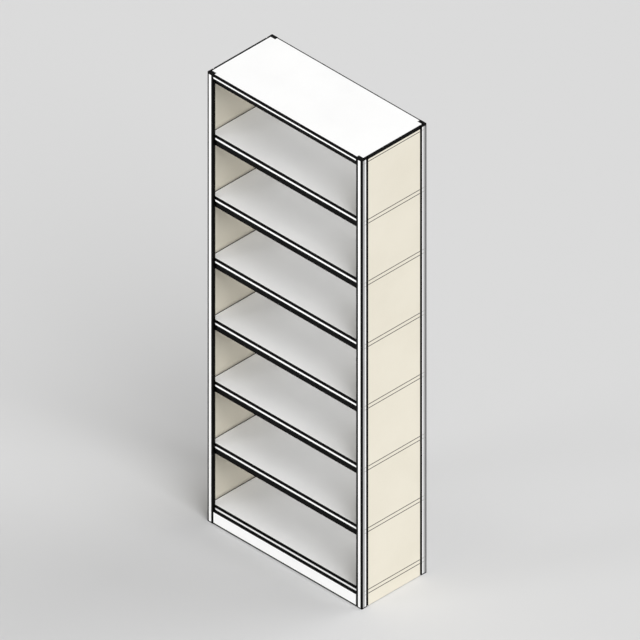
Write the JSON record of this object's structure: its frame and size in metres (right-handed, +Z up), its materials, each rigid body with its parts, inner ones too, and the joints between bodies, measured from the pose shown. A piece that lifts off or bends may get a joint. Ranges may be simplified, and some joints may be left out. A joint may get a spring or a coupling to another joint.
{
  "type": "double sided library shelving",
  "caption": "Tall free-standing steel bay with through shelves open on both faces, closed ends, slotted corner posts, hooked rails and bearers, kick plates and levelling feet.",
  "frame": {"origin": "on the floor, at the middle of the bay's footprint", "axes": "+Z up, +X along the bay to the right as seen from the front, -Y towards the front face"},
  "size_m": [0.908, 0.381, 2.286],
  "materials": {
    "white_paint": "satin powder coat",
    "cream_paint": "satin powder coat",
    "black_paint": "matt powder coat",
    "zinc": "zinc plated",
    "nylon": "moulded"
  },
  "bodies": {
    "frame": {"post_left_front": "white_paint", "post_left_rear": "white_paint", "post_right_front": "white_paint", "post_right_rear": "white_paint", "end_panel_left": "cream_paint", "end_panel_right": "cream_paint", "top_panel": "white_paint", "kick_plate_front": "white_paint", "kick_plate_rear": "white_paint", "rail_front_base": "black_paint", "rail_rear_base": "black_paint", "rail_front_1": "black_paint", "rail_rear_1": "black_paint", "rail_front_2": "black_paint", "rail_rear_2": "black_paint", "rail_front_3": "black_paint", "rail_rear_3": "black_paint", "rail_front_4": "black_paint", "rail_rear_4": "black_paint", "rail_front_5": "black_paint", "rail_rear_5": "black_paint", "rail_front_6": "black_paint", "rail_rear_6": "black_paint", "rail_front_top": "black_paint", "rail_rear_top": "black_paint", "bearer_left_base": "black_paint", "bearer_right_base": "black_paint", "bearer_left_1": "black_paint", "bearer_right_1": "black_paint", "bearer_left_2": "black_paint", "bearer_right_2": "black_paint", "bearer_left_3": "black_paint", "bearer_right_3": "black_paint", "bearer_left_4": "black_paint", "bearer_right_4": "black_paint", "bearer_left_5": "black_paint", "bearer_right_5": "black_paint", "bearer_left_6": "black_paint", "bearer_right_6": "black_paint", "foot_bracket_left_front": "zinc", "foot_bracket_left_rear": "zinc", "foot_bracket_right_front": "zinc", "foot_bracket_right_rear": "zinc"},
    "shelf_base": {"shelf_base": "white_paint"},
    "shelf_1": {"shelf_1": "white_paint"},
    "shelf_2": {"shelf_2": "white_paint"},
    "shelf_3": {"shelf_3": "white_paint"},
    "shelf_4": {"shelf_4": "white_paint"},
    "shelf_5": {"shelf_5": "white_paint"},
    "shelf_6": {"shelf_6": "white_paint"},
    "foot_pad_left_front": {"foot_pad_left_front": "nylon"},
    "levelling_screw_left_front": {"levelling_screw_left_front": "zinc"},
    "foot_pad_left_rear": {"foot_pad_left_rear": "nylon"},
    "levelling_screw_left_rear": {"levelling_screw_left_rear": "zinc"},
    "foot_pad_right_front": {"foot_pad_right_front": "nylon"},
    "levelling_screw_right_front": {"levelling_screw_right_front": "zinc"},
    "foot_pad_right_rear": {"foot_pad_right_rear": "nylon"},
    "levelling_screw_right_rear": {"levelling_screw_right_rear": "zinc"}
  },
  "joints": [
    {"name": "shelf_base_lift", "type": "slide", "parent": "frame", "child": "shelf_base", "axis": [0, 0, 1], "range_m": [0, 0.255]},
    {"name": "shelf_1_lift", "type": "slide", "parent": "frame", "child": "shelf_1", "axis": [0, 0, 1], "range_m": [0, 0.255]},
    {"name": "shelf_2_lift", "type": "slide", "parent": "frame", "child": "shelf_2", "axis": [0, 0, 1], "range_m": [0, 0.255]},
    {"name": "shelf_3_lift", "type": "slide", "parent": "frame", "child": "shelf_3", "axis": [0, 0, 1], "range_m": [0, 0.255]},
    {"name": "shelf_4_lift", "type": "slide", "parent": "frame", "child": "shelf_4", "axis": [0, 0, 1], "range_m": [0, 0.255]},
    {"name": "shelf_5_lift", "type": "slide", "parent": "frame", "child": "shelf_5", "axis": [0, 0, 1], "range_m": [0, 0.255]},
    {"name": "shelf_6_lift", "type": "slide", "parent": "frame", "child": "shelf_6", "axis": [0, 0, 1], "range_m": [0, 0.255]},
    {"name": "foot_pad_left_front_extend", "type": "slide", "parent": "frame", "child": "foot_pad_left_front", "axis": [0, 0, -1], "range_m": [0, 0.0075]},
    {"name": "levelling_screw_left_front_turn", "type": "hinge", "parent": "foot_pad_left_front", "child": "levelling_screw_left_front", "pos_m": [-0.431, -0.1605, 0.02], "axis": [0, 0, 1], "range_deg": [0, 2161]},
    {"name": "foot_pad_left_rear_extend", "type": "slide", "parent": "frame", "child": "foot_pad_left_rear", "axis": [0, 0, -1], "range_m": [0, 0.0075]},
    {"name": "levelling_screw_left_rear_turn", "type": "hinge", "parent": "foot_pad_left_rear", "child": "levelling_screw_left_rear", "pos_m": [-0.431, 0.1605, 0.02], "axis": [0, 0, 1], "range_deg": [0, 2161]},
    {"name": "foot_pad_right_front_extend", "type": "slide", "parent": "frame", "child": "foot_pad_right_front", "axis": [0, 0, -1], "range_m": [0, 0.0075]},
    {"name": "levelling_screw_right_front_turn", "type": "hinge", "parent": "foot_pad_right_front", "child": "levelling_screw_right_front", "pos_m": [0.431, -0.1605, 0.02], "axis": [0, 0, 1], "range_deg": [0, 2161]},
    {"name": "foot_pad_right_rear_extend", "type": "slide", "parent": "frame", "child": "foot_pad_right_rear", "axis": [0, 0, -1], "range_m": [0, 0.0075]},
    {"name": "levelling_screw_right_rear_turn", "type": "hinge", "parent": "foot_pad_right_rear", "child": "levelling_screw_right_rear", "pos_m": [0.431, 0.1605, 0.02], "axis": [0, 0, 1], "range_deg": [0, 2161]}
  ],
  "couplings": [
    {"joint": "levelling_screw_left_front_turn", "follows": "foot_pad_left_front_extend", "rad_per_m": 5026.5},
    {"joint": "levelling_screw_left_rear_turn", "follows": "foot_pad_left_rear_extend", "rad_per_m": 5026.5},
    {"joint": "levelling_screw_right_front_turn", "follows": "foot_pad_right_front_extend", "rad_per_m": 5026.5},
    {"joint": "levelling_screw_right_rear_turn", "follows": "foot_pad_right_rear_extend", "rad_per_m": 5026.5}
  ]
}
